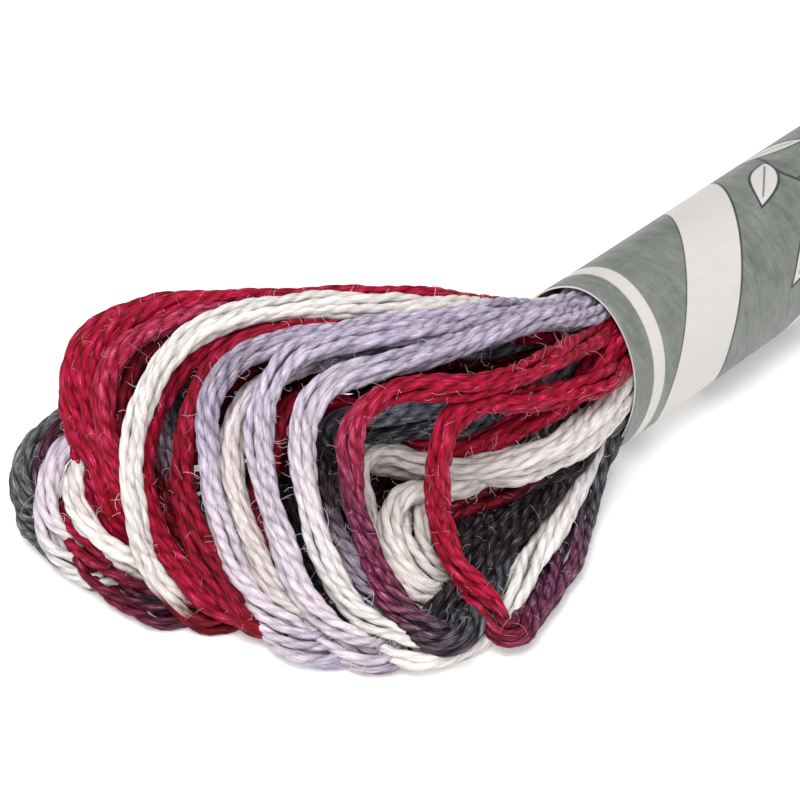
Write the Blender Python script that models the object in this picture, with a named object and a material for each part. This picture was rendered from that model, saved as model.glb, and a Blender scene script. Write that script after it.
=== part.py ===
"""A skein of six-strand embroidery floss, held by one wrapped paper band.

The floss is wound in turns that all run through the band and bend back at both ends.
At -X the turns spread into an open fan that stands about 15 mm high, and at +X they
stay together in a long flat tail. The whole wound form is one closed ring:

    band (upper half) -> fan, over and down -> band (lower half) -> tail -> back

All working lengths are millimetres. +X runs along the band, -Y is the near side, where
the fan opens, and Z = 0 is the table that the skein lies on.
"""
import math
from collections import namedtuple

import bpy
import numpy as np

MM = 0.001
COLLECTION = "embroidery_floss_skein"

# Paper band: a round sleeve with a slanted left rim and a narrow flat seat underneath.
BAND_RADIUS = 5.5
BAND_WALL = 1.0
BAND_LENGTH = 48.0
BAND_SEAT = 0.19
BAND_SIDES = 48
RIM_OFFSET = -0.8
RIM_LEAN = 0.27
RIM_SKEW = 0.14
BAND_AXIS_Z = BAND_RADIUS - BAND_SEAT

# Floss inside the band: two half-round bundles, clear of the paper and of each other.
CLEARANCE = 0.3
BUNDLE_RADIUS = BAND_RADIUS - BAND_WALL - CLEARANCE
BUNDLE_EDGE = math.radians(14.0)
BUNDLE_FLAT = 0.88
BAND_DEPTH = 6.0
MOUTH_STEP = 0.6

# The spread turns: a thin ribbon with a rounded rib for each turn that shows. Its sides
# bulge outwards along the direction of the last columns.
RIBBON_HALF = 1.15
RIB_HEIGHT = 0.4
RIB_SLENDERNESS = 0.22
RIBS_PER_ROW = 2
SAMPLES_PER_RIB = 4
INNER_SAMPLES_PER_ROW = 2
EDGE_BULGE = 0.3
EDGE_COLUMNS = 2

# A row for each main fold of an end, near side first. Bearings are degrees from the band's
# axis, towards the far side; reaches are from the middle of the band's rim. "lift" scales
# the heights in the end's profile.
Fold = namedtuple("Fold", "crest shoulder tip heel toe foot reach toe_reach lift")
FAN_FOLDS = (
    Fold(-15, -11, -9, -21, -29, -42, 17.5, 21.0, 0.85),
    Fold(-8, 0, 0, -12, -21, -30, 20.4, 22.2, 0.94),
    Fold(0, 8, 6, -7, -15, -18, 22.0, 23.9, 0.97),
    Fold(9, 15, 12, 0, -9, -9, 23.6, 25.4, 0.98),
    Fold(17, 21, 18, 6, -3, -1, 25.8, 26.8, 0.98),
    Fold(25, 29, 24, 14, 6, 6, 29.0, 28.6, 0.97),
    Fold(32, 36, 31, 21, 13, 13, 31.8, 31.2, 0.93),
    Fold(36, 35, 31, 27, 20, 20, 34.8, 33.6, 0.48),
)
TAIL_FOLDS = (
    Fold(-8, -10, -9, -8, -8, -6, 61.5, 58.0, 0.85),
    Fold(-4, -5, -5, -4, -4, -3, 64.5, 61.0, 1.0),
    Fold(0, 0, 0, 1, 1, 0, 66.0, 62.5, 1.05),
    Fold(4, 5, 5, 5, 4, 3, 64.0, 60.5, 1.0),
    Fold(8, 9, 9, 8, 7, 6, 60.5, 57.0, 0.9),
)

# How the turns of an end rise and bend back: the distance from the rim, as a share of one
# of the fold's reaches or as a length of its own, the height of the ribbon's middle, and the
# depth from there to its inner face, which is less where it bends tightly.
Step = namedtuple("Step", "bearing base distance height depth")
FAN_PROFILE = (
    Step("crest", None, 13.0, 13.2, 1.0),
    Step("shoulder", "reach", 0.90, 12.7, 1.0),
    Step("tip", "reach", 1.00, 8.2, 1.0),
    Step("heel", "toe_reach", 1.06, 4.6, 0.6),
    Step("toe", "toe_reach", 1.00, 1.15, 0.5),
    Step("foot", "toe_reach", 0.62, 1.15, 1.0),
)
TAIL_PROFILE = (
    Step("crest", None, 30.0, 9.0, 1.15),
    Step("shoulder", "reach", 0.88, 8.6, 1.15),
    Step("tip", "reach", 1.00, 5.6, 1.15),
    Step("heel", "toe_reach", 1.045, 3.0, 1.15),
    Step("toe", "toe_reach", 1.00, 1.15, 1.15),
    Step("foot", "toe_reach", 0.50, 1.15, 1.15),
)
ON_TABLE = ("toe", "foot")

# Samples in each span between two stations of the ring.
BAND_SAMPLES = 1
MOUTH_SAMPLES = 5
END_SAMPLES = {"fan": 4, "tail": 3}

# A station of the ring is one line of points across it: where it is, its step, its points.
Station = namedtuple("Station", "place step line depth")

FLOSS_COLOUR = (0.38, 0.02, 0.05, 1.0)
FLOSS_ROUGHNESS = 0.55
PAPER_COLOUR = (0.27, 0.29, 0.27, 1.0)
PAPER_ROUGHNESS = 0.6


def clear_scene():
    for item in list(bpy.data.objects):
        bpy.data.objects.remove(item, do_unlink=True)


def principled(name, colour, roughness):
    material = bpy.data.materials.new(name)
    material.use_nodes = True
    shader = material.node_tree.nodes["Principled BSDF"]
    shader.inputs["Base Color"].default_value = colour
    shader.inputs["Roughness"].default_value = roughness
    shader.inputs["Metallic"].default_value = 0.0
    return material


def add_object(name, points_mm, faces, material, collection):
    mesh = bpy.data.meshes.new(name)
    mesh.from_pydata((np.asarray(points_mm) * MM).tolist(), [], faces)
    mesh.update()
    mesh.materials.append(material)
    item = bpy.data.objects.new(name, mesh)
    collection.objects.link(item)
    return item


def rim_x(y, z):
    """The band's slanted left rim, at a height and a side of the band."""
    return RIM_OFFSET + RIM_SKEW * y + RIM_LEAN * (z - BAND_AXIS_Z)


def hermite(start, end, start_slope, end_slope, t):
    """The cubic from start to end with the given slopes, at a share t of the way."""
    return (start * (1 + 2 * t) * (1 - t) ** 2 + start_slope * t * (1 - t) ** 2
            + end * t * t * (3 - 2 * t) - end_slope * t * t * (1 - t))


def smooth_rows(values, at):
    """A smooth curve through evenly spaced values, read at fractional row numbers."""
    values = np.asarray(values, float)
    slopes = np.gradient(values)
    low = np.clip(np.floor(at).astype(int), 0, len(values) - 2)
    return hermite(values[low], values[low + 1], slopes[low], slopes[low + 1], at - low)


def end_stations(place, folds, profile, rim, direction, across):
    """The stations of an end, in its profile's order, along the middle of the ribbon."""
    at = across * (len(folds) - 1)
    columns = {name: smooth_rows([getattr(fold, name) for fold in folds], at) for name in Fold._fields}
    stations = []
    for step in profile:
        bearing = np.radians(columns[step.bearing])
        reach = step.distance * (1.0 if step.base is None else columns[step.base])
        lift = 1.0 if step.bearing in ON_TABLE else columns["lift"]
        x = rim + direction * reach * np.cos(bearing)
        y = reach * np.sin(bearing)
        z = np.maximum(step.height * lift, RIBBON_HALF) + 0.0 * x
        stations.append(Station(place, step.bearing, np.stack([x, y, z], axis=1), step.depth))
    return stations


def bundle_stations(side, across, surface):
    """The half-round bundle's stations, from just outside the tail's mouth to the fan's.

    The outer surface is the arc next to the paper, and the inner one is the flat.
    """
    if surface == "outer":
        angle = BUNDLE_EDGE + across * (math.pi - 2 * BUNDLE_EDGE)
        y = -BUNDLE_RADIUS * np.cos(angle)
        z = BAND_AXIS_Z + side * BUNDLE_RADIUS * np.sin(angle)
    else:
        y = BUNDLE_FLAT * BUNDLE_RADIUS * (2 * across - 1)
        z = BAND_AXIS_Z + side * CLEARANCE / 2 + 0.0 * y
    along = (
        BAND_LENGTH + MOUTH_STEP + 0.0 * y,
        BAND_LENGTH - BAND_DEPTH + 0.0 * y,
        BAND_DEPTH + 0.0 * y,
        rim_x(y, z) - MOUTH_STEP,
    )
    return [Station("bundle", "bundle", np.stack([x, y, z], axis=1), 0.0) for x in along]


def ring_stations(across, surface):
    """All the stations: the upper bundle, the fan, the lower bundle, the tail."""
    fan = end_stations("fan", FAN_FOLDS, FAN_PROFILE, 0.0, -1, across)
    tail = end_stations("tail", TAIL_FOLDS, TAIL_PROFILE, BAND_LENGTH, 1, across)
    upper = bundle_stations(1, across, surface)
    lower = bundle_stations(-1, across, surface)
    return upper + fan + lower[::-1] + tail[::-1]


def span_samples(station, following):
    if station.place == following.place:
        return END_SAMPLES.get(station.place, BAND_SAMPLES)
    return MOUTH_SAMPLES


def closed_spline(lines, counts, level):
    """A smooth closed run through the lines; counts are the samples in each span.

    The lines marked level lie on the table, and the run passes through them without a slope.
    """
    following = np.roll(lines, -1, axis=0)
    chord = np.linalg.norm(following - lines, axis=2).mean(axis=1)
    step = (following - lines) / chord[:, None, None]
    before = np.roll(chord, 1)[:, None, None]
    here = chord[:, None, None]
    tangent = (step * before + np.roll(step, 1, axis=0) * here) / (before + here)
    tangent[level, :, 2] = 0.0
    next_tangent = np.roll(tangent, -1, axis=0)
    samples = []
    for k, count in enumerate(counts):
        slopes = tangent[k] * chord[k], next_tangent[k] * chord[k]
        for t in np.arange(count) / count:
            samples.append(hermite(lines[k], following[k], *slopes, t))
    return np.array(samples)


def outward(surface):
    """Unit normals of a closed run of lines, pointing away from the ring's inside."""
    along = np.roll(surface, -1, axis=0) - np.roll(surface, 1, axis=0)
    sideways = np.gradient(surface, axis=1)
    normal = np.cross(sideways, along)
    return normal / np.linalg.norm(normal, axis=2)[:, :, None]


def ring_surface(surface, columns):
    """One face of the ribbon, offset from its middle wherever the turns are spread."""
    stations = ring_stations(np.linspace(0, 1, columns), surface)
    counts = [span_samples(*pair) for pair in zip(stations, stations[1:] + stations[:1])]
    level = np.array([station.step in ON_TABLE for station in stations])
    spread = np.array([station.place != "bundle" for station in stations])
    lines = np.array([station.line for station in stations])
    normals = outward(lines)
    normals[level] = (0.0, 0.0, -1.0)
    if surface == "outer":
        offset = spread * (RIBBON_HALF - RIB_HEIGHT)
    else:
        offset = -np.array([station.depth for station in stations])
    lines += offset[:, None, None] * normals
    sample_at = np.concatenate([k + np.arange(count) / count for k, count in enumerate(counts)])
    strength = np.interp(sample_at, np.arange(len(spread) + 1), np.append(spread, spread[0]))
    return closed_spline(lines, counts, level), strength


def ribbon_ring():
    """Outer and inner surfaces of the wound ring, as lines of points round the ring."""
    ribs = (len(FAN_FOLDS) - 1) * RIBS_PER_ROW
    outer_columns = ribs * SAMPLES_PER_RIB + 1
    inner_columns = (len(FAN_FOLDS) - 1) * INNER_SAMPLES_PER_ROW + 1
    outer, strength = ring_surface("outer", outer_columns)
    inner, _ = ring_surface("inner", inner_columns)
    rib = np.abs(np.sin(np.linspace(0, math.pi * ribs, outer_columns)))
    pitch = np.linalg.norm(np.gradient(outer, axis=1), axis=2) * SAMPLES_PER_RIB
    height = np.minimum(RIB_HEIGHT, RIB_SLENDERNESS * pitch) * strength[:, None] * rib[None, :]
    outer = outer + outward(outer) * height[:, :, None]
    inner[:, :, 2] = np.maximum(inner[:, :, 2], RIB_HEIGHT)
    return outer, inner


def edge_point(outer_line, inner_line):
    """The ribbon's side where the lines start: midway between its faces, a little outside."""
    middle = (outer_line[0] + inner_line[0]) / 2
    way = outer_line[0] - outer_line[EDGE_COLUMNS]
    return middle + EDGE_BULGE * way / max(1.0, np.linalg.norm(way))


def ring_faces(rings, size):
    """Quads between neighbouring closed loops, the last loop joined to the first."""
    faces = []
    for ring in range(rings):
        start, after = ring * size, ((ring + 1) % rings) * size
        for k in range(size):
            following = (k + 1) % size
            faces.append((start + k, start + following, after + following, after + k))
    return faces


def build_hank(collection):
    loops = []
    for outer_line, inner_line in zip(*ribbon_ring()):
        near = edge_point(outer_line, inner_line)
        far = edge_point(outer_line[::-1], inner_line[::-1])
        loops.append(np.vstack([outer_line, [far], inner_line[::-1], [near]]))
    points = np.vstack(loops)
    points[:, 2] = np.maximum(points[:, 2], 0.0)
    faces = ring_faces(len(loops), len(loops[0]))
    material = principled("floss", FLOSS_COLOUR, FLOSS_ROUGHNESS)
    return add_object("floss_hank", points, faces, material, collection)


def build_band(collection):
    """The paper sleeve: outer and inner walls between a slanted rim and a square one."""
    angles = np.arange(BAND_SIDES) * 2 * math.pi / BAND_SIDES - math.pi / 2
    corners = (
        (BAND_RADIUS, "slanted"),
        (BAND_RADIUS, "square"),
        (BAND_RADIUS - BAND_WALL, "square"),
        (BAND_RADIUS - BAND_WALL, "slanted"),
    )
    rings = []
    for radius, rim in corners:
        y = radius * np.cos(angles)
        z = BAND_AXIS_Z + radius * np.sin(angles)
        x = rim_x(y, z) if rim == "slanted" else BAND_LENGTH + 0.0 * y
        rings.append(np.stack([x, y, np.maximum(z, 0.0)], axis=1))
    points = np.vstack(rings)
    faces = ring_faces(len(rings), BAND_SIDES)
    material = principled("band_paper", PAPER_COLOUR, PAPER_ROUGHNESS)
    return add_object("paper_band", points, faces, material, collection)


def centre_on_origin(items):
    """Puts the middle of the model's footprint on the origin."""
    corners = np.vstack([[vertex.co[:] for vertex in item.data.vertices] for item in items])
    middle = (corners.min(axis=0) + corners.max(axis=0)) / 2
    for item in items:
        item.location = (-middle[0], -middle[1], 0.0)


def main():
    clear_scene()
    collection = bpy.data.collections.new(COLLECTION)
    bpy.context.scene.collection.children.link(collection)
    items = [build_hank(collection), build_band(collection)]
    centre_on_origin(items)
    bpy.context.view_layer.update()


main()
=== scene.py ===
"""Looks of the embroidery floss skein: every turn of thread, its loose fibres and the paper band."""
import math
from collections import namedtuple
from functools import partial

import bpy
import numpy as np
from mathutils import Matrix, Vector


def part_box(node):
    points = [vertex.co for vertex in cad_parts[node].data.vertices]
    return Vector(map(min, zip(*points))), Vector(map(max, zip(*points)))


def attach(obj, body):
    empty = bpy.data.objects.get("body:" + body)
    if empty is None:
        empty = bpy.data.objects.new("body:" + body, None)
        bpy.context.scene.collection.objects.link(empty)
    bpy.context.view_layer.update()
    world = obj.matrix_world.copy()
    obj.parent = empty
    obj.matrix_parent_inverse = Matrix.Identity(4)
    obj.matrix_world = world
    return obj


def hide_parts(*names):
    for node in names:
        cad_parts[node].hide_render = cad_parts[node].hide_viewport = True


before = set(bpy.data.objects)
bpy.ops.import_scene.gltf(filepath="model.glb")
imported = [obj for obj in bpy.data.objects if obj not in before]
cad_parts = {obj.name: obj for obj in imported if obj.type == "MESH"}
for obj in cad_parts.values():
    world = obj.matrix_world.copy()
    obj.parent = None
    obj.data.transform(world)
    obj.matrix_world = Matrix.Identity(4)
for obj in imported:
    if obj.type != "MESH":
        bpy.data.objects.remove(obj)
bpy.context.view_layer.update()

# Working lengths are millimetres, with the band's left mouth at x = 0 and its middle at y = 0,
# x along the band, the near side at -y and the table at z = 0.
MM = 0.001
BAND_LENGTH = 48.0
BAND_RADIUS = 5.5
BAND_AXIS_Z = 5.31
band_low, band_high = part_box("paper_band")
ORIGIN = np.array([band_high.x - BAND_LENGTH * MM, (band_low.y + band_high.y) / 2, 0.0])
RANDOM = np.random.RandomState(7)

CAMERA_PLACE = np.array((-105.86, -84.82, 108.42))
CAMERA_RIGHT = (0.6884, -0.7254, 0.0)
LOOKING = np.array((0.5716, 0.5424, -0.6157))
CAMERA_LENS = 122.4


def rim_x(y, z):
    """The band's slanted left rim."""
    return -0.8 + 0.14 * y + 0.27 * (z - BAND_AXIS_Z)


def linear(code):
    """The linear colour of a hex code as a picture shows it."""
    share = np.array([int(code[k:k + 2], 16) for k in (1, 3, 5)]) / 255
    return np.where(share <= 0.04045, share / 12.92, ((share + 0.055) / 1.055) ** 2.4)


# Besides the floss's own colours, the near-black is painted shadow for turns hidden in the fan, and the deep
# crimson is partly a darker dye and partly painted shade there.
DYES = {name: linear(code) for name, code in {
    "scarlet": "#9E1234", "crimson": "#9B0A31", "deep": "#70061B", "wine": "#74142F", "maroon": "#501F35",
    "rose": "#9C304F", "plum": "#783250", "mulberry": "#64364F", "dusk": "#56434F", "charcoal": "#45464B",
    "soot": "#2C272B", "slate": "#66636F", "ash": "#5E605F", "haze": "#978A9A", "lavender": "#AFA6B8",
    "pearl": "#CCC1C9", "white": "#DBD7D4", "cream": "#DAD4D0", "shade": "#CDC3C1",
}.items()}

# ---- the turns of the fan
# A row for each turn. It enters and leaves the band at (degrees round the band, distance from its
# axis); its points between are (bearing from the band's axis in degrees, distance from the mouth,
# height). The dye changes from stop to stop along the turn's way through the fan, from 0 to 1, and
# stays the same before the first and after the last. The near-black stops are painted shadow where a
# turn runs hidden in the fan's hollow or under other turns. The deep crimson stops are partly a
# darker dye and partly painted shade there.
Turn = namedtuple("Turn", "name enter leave points dye")
TURNS = [Turn(*row) for row in (
    ("a", (152, 4.5), (214, 4.6), (
        (-49, 6.6, 9.3), (-31, 8.8, 10), (-21, 11.5, 11), (-14, 13.2, 11.6), (-11, 14.7, 11.6),
        (-10.4, 16, 11), (-11.2, 16.9, 10), (-11.4, 17.3, 8.2), (-11.5, 17.4, 6.2), (-13.6, 17.7, 4.2),
        (-16.9, 18.1, 2.9), (-21, 18.6, 1.9), (-24.8, 19.4, 1.3), (-27.3, 20.1, 0.9), (-29.4, 20, 0.78),
        (-31, 18.8, 0.75), (-32.6, 17.3, 0.75), (-34.2, 15.6, 0.8), (-35.8, 13.6, 0.85), (-37.5, 11.3, 0.9),
        (-39.2, 8.8, 1), (-41, 6, 1.2)), (
        (0, "deep"), (0.08, "crimson"), (0.3, "crimson"), (0.38, "scarlet"), (0.57, "scarlet"),
        (0.61, "wine"), (0.66, "mulberry"), (0.73, "mulberry"), (0.8, "dusk"), (0.87, "charcoal"))),
    ("a_inner", (162, 2.4), (226, 3.1), (
        (-37.8, 7.6, 4.5), (-24.7, 9, 4.1), (-15.5, 10.7, 3.7), (-9.6, 12.3, 3.3), (-6.4, 13.5, 2.8),
        (-4.9, 14.3, 2.1), (-7.1, 14.5, 1.4), (-9.7, 13.2, 1), (-13.3, 10.8, 0.9), (-19.7, 8, 0.9),
        (-32.5, 6.1, 1.4)), (
        (0.32, "soot"), (0.39, "deep"), (0.48, "deep"), (0.55, "soot"))),
    ("cream_top", (169, 4.5), (212, 3.2), (
        (-50, 6.6, 7), (-39, 8.3, 7), (-31, 10.1, 7), (-21, 11.3, 6.6), (-12, 12.8, 6.5), (-5, 13.6, 6.5),
        (0, 14.7, 6.6), (4.5, 15.4, 6.9), (7.1, 16.2, 7.1), (8, 17.1, 7), (7.2, 17.9, 6.4),
        (5.1, 18.3, 5.2), (1.1, 18.8, 3.9), (-3.4, 19.4, 2.8), (-8.5, 20.2, 1.9), (-13.2, 20.5, 1.2),
        (-17.4, 19.8, 0.8), (-20, 18, 0.8), (-22, 15, 0.8), (-27, 10.5, 0.9), (-38, 7, 1.4)), (
        (0, "white"), (0.5, "shade"), (0.58, "shade"), (0.64, "charcoal"))),
    ("cream_low", (181, 4.5), (240, 1.8), (
        (-50, 6.3, 6), (-38, 8.6, 6), (-28, 10.1, 5.6), (-20, 12, 5.5), (-10, 12.9, 5.4), (-4, 14, 5.4),
        (1, 14.9, 5.6), (6, 15.8, 6), (10, 17.2, 6), (9, 18.2, 5), (5, 18.6, 3.8), (0, 18.6, 2.6),
        (-6, 18.3, 1.5), (-12, 17, 0.8), (-15, 13, 0.8), (-20, 9, 1.2)), (
        (0, "cream"), (0.53, "shade"), (0.59, "charcoal"), (1, "soot"))),
    ("coil_outer", (174, 2.4), (232, 3.1), (
        (-38, 6.5, 4.8), (-24, 8.5, 4.4), (-15, 10, 4.2), (-8, 12.4, 4.5), (-5, 14.3, 5), (-2, 15.7, 5),
        (-1, 17, 4.9), (-2, 18.2, 4.3), (-4, 18.9, 3.5), (-8, 19.6, 2.5), (-12, 19.9, 1.6), (-16, 19, 0.9),
        (-17, 16, 0.8), (-18, 12, 0.8), (-23, 8, 1.2)), (
        (0, "shade"), (0.3, "cream"), (0.54, "cream"), (0.59, "charcoal"))),
    ("coil_inner", (150, 1.9), (270, 1.8), (
        (-20, 7, 4), (-11, 10, 3.6), (-7, 12, 3.6), (-3, 14.4, 4), (-3, 16, 4), (-5, 17.1, 3.5),
        (-8, 17.9, 2.6), (-12, 18.2, 1.6), (-14, 17, 0.8), (-13, 13, 0.8), (-12, 8, 1.4)), (
        (0, "deep"), (0.12, "shade"), (0.5, "cream"), (0.57, "soot"), (1, "deep"))),
    ("loop_red", (138, 4.5), (300, 1.8), (
        (-38, 5.2, 8), (-27, 8.8, 8.5), (-19, 10.4, 8.1), (-13, 11.9, 7.8), (-8, 13.3, 7.8),
        (-1, 14.3, 7.8), (4, 15, 8.2), (9, 16.5, 9), (13, 18.5, 10.4), (15, 20.5, 10.8), (14.5, 22, 9.6),
        (13.5, 22.8, 7.6), (13, 23.6, 5.4), (9, 24.4, 3.6), (4, 24.8, 2.2), (-1, 24.8, 1.2),
        (-6, 24.2, 0.8)), (
        (0.34, "crimson"), (0.5, "deep"))),
    ("b", (111, 4.5), (193, 4.5), (
        (-36, 4.4, 10.4), (-23, 9, 12), (-13.5, 13.5, 13), (-6, 15.9, 13.5), (-1, 17.7, 13.5),
        (0.5, 19.3, 12.9), (1, 20.2, 11.4), (0.1, 20.5, 9.4), (-0.9, 20.6, 7.4), (-3.1, 20.7, 5.2),
        (-6.4, 21.1, 3.6), (-10.2, 21.7, 2.5), (-13.6, 22.3, 1.9), (-17.3, 22.7, 1.6), (-20.6, 22.6, 1.4),
        (-22.6, 21.1, 1.1), (-22.2, 19.1, 0.9), (-21.4, 16.6, 0.9), (-20.1, 13, 1.1), (-20.5, 9.5, 1.4),
        (-23.7, 6.6, 1.9)), (
        (0, "deep"), (0.08, "crimson"), (0.34, "crimson"), (0.4, "rose"), (0.47, "plum"), (0.54, "plum"),
        (0.6, "dusk"), (0.64, "charcoal"))),
    ("grey_top", (116, 3.2), (190, 3.1), (
        (-20, 5.5, 8.8), (-8, 9, 9.4), (-1, 12.6, 9.6), (2, 14.2, 9.9), (4, 15.6, 10.2), (6.5, 17.2, 10.4),
        (10, 18.4, 10), (13, 18.7, 8.4), (13, 18.8, 6.8), (10, 19.5, 5.2), (5.7, 20.2, 3.9),
        (1.4, 20.6, 2.8), (-3.5, 21.2, 1.9), (-8.2, 21.7, 1.2), (-13, 22, 0.8), (-16, 20, 0.8),
        (-15, 16.6, 0.8), (-15, 12.5, 1.2), (-19, 9, 1.8)), (
        (0, "charcoal"), (0.2, "slate"), (0.33, "slate"), (0.4, "soot"), (0.46, "dusk"), (0.5, "haze"),
        (0.55, "haze"), (0.59, "charcoal"))),
    ("grey_low", (138, 3.2), (330, 1.7), (
        (-24, 5.5, 7.6), (-11, 9, 8.2), (-3, 12.8, 8.4), (2, 14.3, 8.6), (5, 15.3, 8.6), (9.5, 16.6, 8.4),
        (13.3, 17.8, 8), (15.5, 18.9, 7.4), (15.7, 19.9, 6.3), (13.8, 20.6, 4.7), (10.4, 21.1, 3.1),
        (5.6, 21.7, 1.9), (0.2, 22.5, 1), (-5.9, 22.6, 0.8)), (
        (0.3, "charcoal"), (0.4, "soot"))),
    ("c", (94, 4.5), (206, 3.2), (
        (-13, 5.4, 12.5), (-4, 9, 13.1), (0.5, 13.3, 13.8), (4.4, 16.8, 14.1), (8, 19.2, 13.6),
        (8.5, 20.8, 12.5), (7.8, 21.7, 10.4), (5.4, 22.2, 7.4), (1.8, 22.7, 5), (-3, 23.1, 3),
        (-7.8, 23.3, 1.6), (-12.1, 23.4, 0.9), (-16.4, 23.3, 0.75), (-19.8, 22.4, 0.75), (-22.6, 20.9, 0.8),
        (-24.8, 19.4, 1.2), (-26.8, 17.4, 1.6), (-29.4, 14.8, 1.9), (-32.6, 11.9, 2.1),
        (-35.1, 8.6, 2.3)), (
        (0.3, "lavender"), (0.42, "pearl"), (0.55, "white"), (0.8, "white"), (1, "pearl"))),
    ("d", (78, 4.5), (226, 4.6), (
        (7, 8.6, 13), (11, 13.8, 14), (15.5, 17.3, 14.1), (16.6, 20.2, 13.8), (15.6, 22.2, 12.4),
        (13.5, 23.2, 10), (10, 23.7, 6.9), (4, 24.3, 4.3), (-1, 24.8, 2.5), (-6, 25, 1.2), (-11, 24.6, 0.8),
        (-14, 23, 0.8)), (
        (0.32, "lavender"), (0.52, "pearl"), (0.62, "pearl"), (0.66, "haze"), (0.7, "soot"))),
    ("e_inner", (72, 3.2), (232, 3.2), (
        (12, 9, 11.4), (17, 15, 12.2), (19, 19, 12.3), (19.2, 22, 11.6), (18, 23.8, 9.8), (15.5, 24.7, 7.6),
        (12, 25.1, 5.6), (7.5, 25.4, 3.6), (2.5, 25.7, 2), (-3, 25.4, 0.9), (-7, 24, 0.8)), (
        (0.28, "slate"), (0.34, "lavender"), (0.41, "shade"), (0.68, "shade"), (0.74, "soot"))),
    ("e", (63, 4.5), (238, 4.6), (
        (12, 9, 12.9), (18, 16.8, 14), (20, 19.8, 14), (21, 22.8, 13.4), (20, 24.8, 12), (18, 25.6, 9.4),
        (15.4, 26, 6.9), (11.6, 26.2, 4.4), (7.4, 26.3, 2.6), (2.8, 26.5, 1.3), (-3, 26.2, 0.8),
        (-7, 24.8, 0.8)), (
        (0.3, "lavender"), (0.36, "haze"), (0.43, "lavender"), (0.5, "pearl"), (0.6, "pearl"),
        (0.64, "lavender"), (0.69, "haze"), (0.74, "soot"))),
    ("red_1", (94, 3.2), (250, 4.6), (
        (18, 9, 11.6), (25, 15, 12.4), (27.5, 19.5, 12.8), (27.4, 22.6, 12.2), (25.5, 24.6, 10.8),
        (23, 26, 8.6), (20, 26.9, 6.3), (15.5, 27.3, 4), (11.6, 27.2, 2.1), (7.1, 27, 0.9),
        (2.4, 26, 0.8)), (
        (0, "crimson"), (1, "deep"))),
    ("red_2", (60, 1.9), (252, 3.2), (
        (23, 9, 10.8), (27.4, 15, 12.3), (28.8, 19.5, 12.9), (29.1, 23.6, 12.5), (28, 26.1, 10.9),
        (26.2, 27.9, 8.3), (22.7, 28.9, 5.6), (18.2, 29, 3.1), (13.6, 28.1, 1.4), (9.2, 27.6, 0.8),
        (5.4, 26.2, 0.8)), (
        (0, "deep"), (0.5, "crimson"), (1, "deep"))),
    ("dusk_1", (75, 1.9), (246, 1.8), (
        (23, 9, 9.4), (27, 15, 10.2), (28, 19.5, 10.4), (27.6, 22.8, 10), (33.4, 25.2, 8.2),
        (31.9, 26, 6.4), (27.6, 26.7, 4.6), (22.6, 27.3, 3.1), (16.7, 27.7, 1.8), (10.6, 27.8, 0.9)), (
        (0.37, "deep"), (0.41, "dusk"), (0.46, "haze"), (0.5, "deep"))),
    ("f", (48, 4.5), (262, 4.6), (
        (24, 12, 13.3), (29, 17.8, 13.9), (29.8, 21.1, 13.9), (29.6, 24.1, 13.4), (28.4, 26.2, 12.4),
        (27, 27.7, 10.6), (25.2, 28.7, 8.5), (22.4, 29.6, 6.4), (18.4, 30.1, 4.4), (16.8, 29.9, 2.9),
        (14.6, 29.6, 1.9), (12.5, 29, 1.2), (10.3, 28.4, 0.8), (8, 27.5, 0.75)), (
        (0, "cream"), (0.3, "white"), (0.585, "cream"), (0.605, "deep"))),
    ("red_3", (50, 3.2), (274, 4.6), (
        (25.5, 10.8, 11.2), (29.6, 15.7, 11.9), (31.9, 20.3, 12.7), (32.8, 24.3, 12.5), (32.4, 27.1, 11.4),
        (30.9, 28.8, 9.6), (28, 29.6, 7), (24, 29.8, 4.3), (20.4, 29.5, 2.6), (16.4, 28.6, 1.3),
        (12, 27.2, 0.8)), (
        (0.5, "deep"), (1, "plum"))),
    ("red_4", (25, 3.2), (286, 4.6), (
        (27, 11, 12.1), (30.8, 16.2, 12.8), (33.3, 21, 13), (34.5, 24.9, 12.8), (34.2, 27.6, 12),
        (32.8, 29.4, 10.5), (30.2, 30.1, 8.4), (26.8, 30.1, 6.2), (23, 29.8, 4.2), (19.6, 29.3, 2.4),
        (15.6, 28.2, 1), (12, 26.6, 0.8)), (
        (0, "crimson"), (0.35, "rose"), (0.55, "crimson"), (1, "deep"))),
    ("red_5", (33, 4.5), (298, 4.6), (
        (29, 11.3, 12.4), (32.4, 16.8, 13), (35, 21.8, 13.3), (36, 25.7, 13.1), (35.6, 28.5, 12.2),
        (34.2, 30.2, 10.6), (31.7, 30.8, 8.5), (28.4, 30.7, 6.2), (25.2, 30.5, 4.4), (22, 30, 2.6),
        (18, 29, 1.2), (14, 27.8, 0.8)), (
        (0, "crimson"),)),
    ("red_6", (18, 4.6), (310, 4.6), (
        (31, 11.6, 12.6), (34, 17.3, 13.1), (36.6, 22.6, 13.3), (37.4, 26.8, 13.1), (37, 29.6, 12.2),
        (35.5, 31.2, 10.6), (33, 31.8, 8.8), (30.9, 31.7, 7.2), (28.7, 31.6, 5.8), (26.6, 31.2, 4.6),
        (24.3, 30.7, 3.4), (22, 29.9, 2.3), (19.5, 28.9, 1.4), (15.5, 27.8, 0.8)), (
        (0.5, "crimson"), (1, "deep"))),
    ("dark_1", (3, 4.6), (322, 4.6), (
        (31.7, 11.7, 8.8), (36.3, 20, 8.5), (37.2, 26.2, 7.9), (36.6, 30, 7), (36.1, 31.9, 6),
        (35.4, 33.3, 5.2), (34.9, 34.4, 4.4), (33.9, 35, 3.5), (32.6, 35.2, 2.6), (30.9, 35, 1.8),
        (28.7, 34.5, 1.2), (26.1, 33.7, 0.9), (22.8, 32.4, 0.8)), (
        (0.36, "deep"), (0.42, "ash"), (0.6, "ash"), (0.8, "charcoal"), (1, "slate"))),
    ("dark_2", (5, 3.2), (334, 4.5), (
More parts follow.
